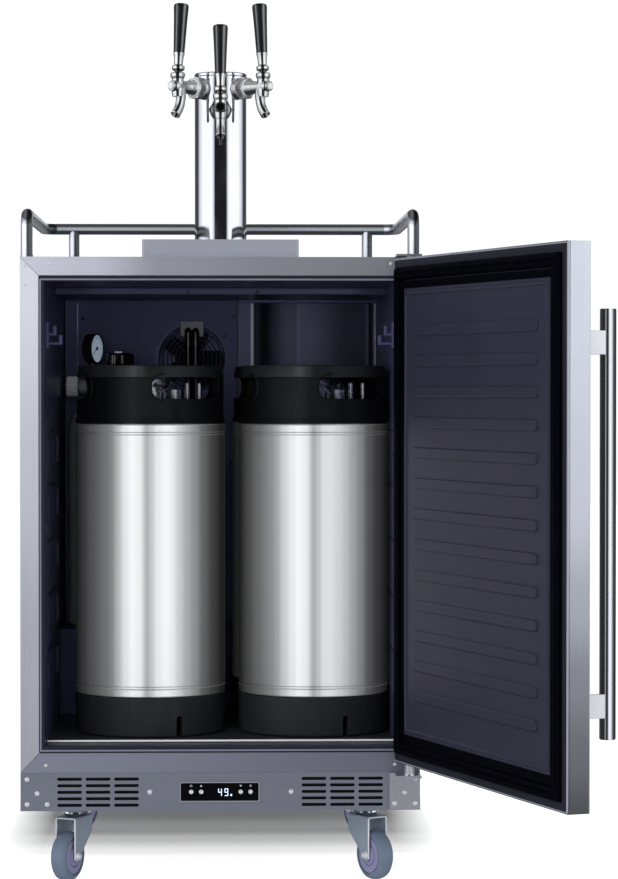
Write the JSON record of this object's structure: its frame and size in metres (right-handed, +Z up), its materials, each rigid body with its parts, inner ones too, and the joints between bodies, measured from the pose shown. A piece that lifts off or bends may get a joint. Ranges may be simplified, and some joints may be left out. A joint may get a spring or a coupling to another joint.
{
  "type": "kegerator",
  "caption": "Stainless insulated beer cooler on swivel casters with a hinged door, kegs, gas supply, draught tower with tap faucets, drip tray and guard rail.",
  "frame": {"origin": "on the floor, at the centre of the cabinet's footprint", "axes": "+X to the right seen from the front, +Y to the back, +Z up; the door side faces -Y"},
  "size_m": [0.8264, 1.2207, 1.3547],
  "materials": {
    "stainless_brushed": "brushed grain",
    "galvanised": "galvanised sheet",
    "foam": "rigid insulation foam",
    "liner_plastic": "satin moulded",
    "gasket_rubber": "soft matte",
    "keg_rubber": "moulded matte",
    "chrome": "polished",
    "black_gloss": "gloss",
    "button_metal": "satin",
    "bottle_paint": "satin paint",
    "black_plastic": "satin",
    "regulator_brass": "machined",
    "gauge_case": "satin black, pale dial",
    "line_plastic": "insulated sleeve",
    "compressor_paint": "semi-gloss black",
    "coil_aluminium": "raw fins",
    "zinc": "zinc plated",
    "caster_rubber": "moulded tyre on a plastic hub"
  },
  "bodies": {
    "cabinet": {"back_panel": "galvanised", "base_pan": "galvanised", "cabinet_wrap": "stainless_brushed", "caster_plates": "galvanised", "co2_cylinder": "bottle_paint", "compressor": "compressor_paint", "condenser": "coil_aluminium", "controller_bezel": "chrome", "controller_screen": "black_gloss", "drip_tray": "stainless_brushed", "evaporator_cover": "liner_plastic", "faucet_left_body": "chrome", "faucet_middle_body": "chrome", "faucet_right_body": "chrome", "floor_plate": "galvanised", "foam_slabs": "foam", "front_frame": "stainless_brushed", "guard_rail": "chrome", "hinge_brackets": "stainless_brushed", "inner_liner": "liner_plastic", "kick_panel": "stainless_brushed", "pressure_gauge": "gauge_case", "product_lines": "line_plastic", "regulator": "regulator_brass", "tower_cap": "chrome", "tower_column": "chrome"},
    "door": {"door_pan": "stainless_brushed", "door_foam": "foam", "door_liner": "liner_plastic", "door_gasket": "gasket_rubber", "door_handle": "stainless_brushed"},
    "tap_left": {"faucet_left_lever": "chrome", "faucet_left_handle": "black_gloss"},
    "tap_middle": {"faucet_middle_lever": "chrome", "faucet_middle_handle": "black_gloss"},
    "tap_right": {"faucet_right_lever": "chrome", "faucet_right_handle": "black_gloss"},
    "button_light": {"button_light": "button_metal"},
    "button_up": {"button_up": "button_metal"},
    "button_down": {"button_down": "button_metal"},
    "button_mode": {"button_mode": "button_metal"},
    "keg_left": {"keg_left_barrel": "stainless_brushed", "keg_left_rubber": "keg_rubber"},
    "keg_right": {"keg_right_barrel": "stainless_brushed", "keg_right_rubber": "keg_rubber"},
    "keg_rear": {"keg_rear_barrel": "stainless_brushed", "keg_rear_rubber": "keg_rubber"},
    "drip_grille": {"drip_grille": "stainless_brushed"},
    "evaporator_fan": {"evaporator_fan": "black_plastic"},
    "condenser_fan": {"condenser_fan": "black_plastic"},
    "co2_handwheel": {"co2_handwheel": "black_plastic"},
    "regulator_knob": {"regulator_knob": "black_plastic"},
    "caster_front_left": {"caster_front_left_fork": "zinc"},
    "wheel_front_left": {"caster_front_left_wheel": "caster_rubber"},
    "caster_front_right": {"caster_front_right_fork": "zinc"},
    "wheel_front_right": {"caster_front_right_wheel": "caster_rubber"},
    "caster_rear_left": {"caster_rear_left_fork": "zinc"},
    "wheel_rear_left": {"caster_rear_left_wheel": "caster_rubber"},
    "caster_rear_right": {"caster_rear_right_fork": "zinc"},
    "wheel_rear_right": {"caster_rear_right_wheel": "caster_rubber"}
  },
  "joints": [
    {"name": "door_hinge", "type": "hinge", "parent": "cabinet", "child": "door", "pos_m": [0.282, -0.346, 0.5], "axis": [0, 0, 1], "range_deg": [-109, 6]},
    {"name": "tap_left_lever", "type": "hinge", "parent": "cabinet", "child": "tap_left", "pos_m": [-0.06718, -0.08718, 1.232], "axis": [0.7071, -0.7071, 0], "range_deg": [0, 30]},
    {"name": "tap_middle_lever", "type": "hinge", "parent": "cabinet", "child": "tap_middle", "pos_m": [0, -0.115, 1.196], "axis": [1, 0, 0], "range_deg": [0, 30]},
    {"name": "tap_right_lever", "type": "hinge", "parent": "cabinet", "child": "tap_right", "pos_m": [0.06718, -0.08718, 1.232], "axis": [0.7071, 0.7071, 0], "range_deg": [0, 30]},
    {"name": "press_light", "type": "slide", "parent": "cabinet", "child": "button_light", "axis": [0, 1, 0], "range_m": [0, 0.0005]},
    {"name": "press_up", "type": "slide", "parent": "cabinet", "child": "button_up", "axis": [0, 1, 0], "range_m": [0, 0.0005]},
    {"name": "press_down", "type": "slide", "parent": "cabinet", "child": "button_down", "axis": [0, 1, 0], "range_m": [0, 0.0005]},
    {"name": "press_mode", "type": "slide", "parent": "cabinet", "child": "button_mode", "axis": [0, 1, 0], "range_m": [0, 0.0005]},
    {"name": "keg_left_slide", "type": "slide", "parent": "cabinet", "child": "keg_left", "axis": [0, -1, 0], "range_m": [0, 0.42]},
    {"name": "keg_right_slide", "type": "slide", "parent": "cabinet", "child": "keg_right", "axis": [-0.03, -0.9996, 0], "range_m": [0, 0.42]},
    {"name": "keg_rear_slide", "type": "slide", "parent": "cabinet", "child": "keg_rear", "axis": [-1, 0, 0], "range_m": [0, 0.1]},
    {"name": "grille_lift", "type": "slide", "parent": "cabinet", "child": "drip_grille", "axis": [0, 0, 1], "range_m": [0, 0.06]},
    {"name": "evaporator_fan_spin", "type": "hinge", "parent": "cabinet", "child": "evaporator_fan", "pos_m": [-0.049, 0.261, 0.795], "axis": [0, 1, 0], "continuous": true},
    {"name": "condenser_fan_spin", "type": "hinge", "parent": "cabinet", "child": "condenser_fan", "pos_m": [0.11, -0.209, 0.14], "axis": [0, 1, 0], "continuous": true},
    {"name": "co2_valve_turn", "type": "hinge", "parent": "cabinet", "child": "co2_handwheel", "pos_m": [-0.247, 0.18, 0.748], "axis": [1, 0, 0], "range_deg": [0, 540]},
    {"name": "regulator_adjust", "type": "hinge", "parent": "cabinet", "child": "regulator_knob", "pos_m": [-0.166, 0.114, 0.792], "axis": [0, 0, 1], "range_deg": [-270, 270]},
    {"name": "swivel_front_left", "type": "hinge", "parent": "cabinet", "child": "caster_front_left", "pos_m": [-0.22, -0.255, 0.095], "axis": [0, 0, 1], "continuous": true},
    {"name": "roll_front_left", "type": "hinge", "parent": "caster_front_left", "child": "wheel_front_left", "pos_m": [-0.23139, -0.28058, 0.0375], "axis": [0.9135, -0.4067, 0], "continuous": true},
    {"name": "swivel_front_right", "type": "hinge", "parent": "cabinet", "child": "caster_front_right", "pos_m": [0.22, -0.255, 0.095], "axis": [0, 0, 1], "continuous": true},
    {"name": "roll_front_right", "type": "hinge", "parent": "caster_front_right", "child": "wheel_front_right", "pos_m": [0.234, -0.27925, 0.0375], "axis": [0.866, 0.5, 0], "continuous": true},
    {"name": "swivel_rear_left", "type": "hinge", "parent": "cabinet", "child": "caster_rear_left", "pos_m": [-0.22, 0.255, 0.095], "axis": [0, 0, 1], "continuous": true},
    {"name": "roll_rear_left", "type": "hinge", "parent": "caster_rear_left", "child": "wheel_rear_left", "pos_m": [-0.23606, 0.23206, 0.0375], "axis": [0.8192, -0.5736, 0], "continuous": true},
    {"name": "swivel_rear_right", "type": "hinge", "parent": "cabinet", "child": "caster_rear_right", "pos_m": [0.22, 0.255, 0.095], "axis": [0, 0, 1], "continuous": true},
    {"name": "roll_rear_right", "type": "hinge", "parent": "caster_rear_right", "child": "wheel_rear_right", "pos_m": [0.22958, 0.22869, 0.0375], "axis": [0.9397, 0.342, 0], "continuous": true}
  ]
}
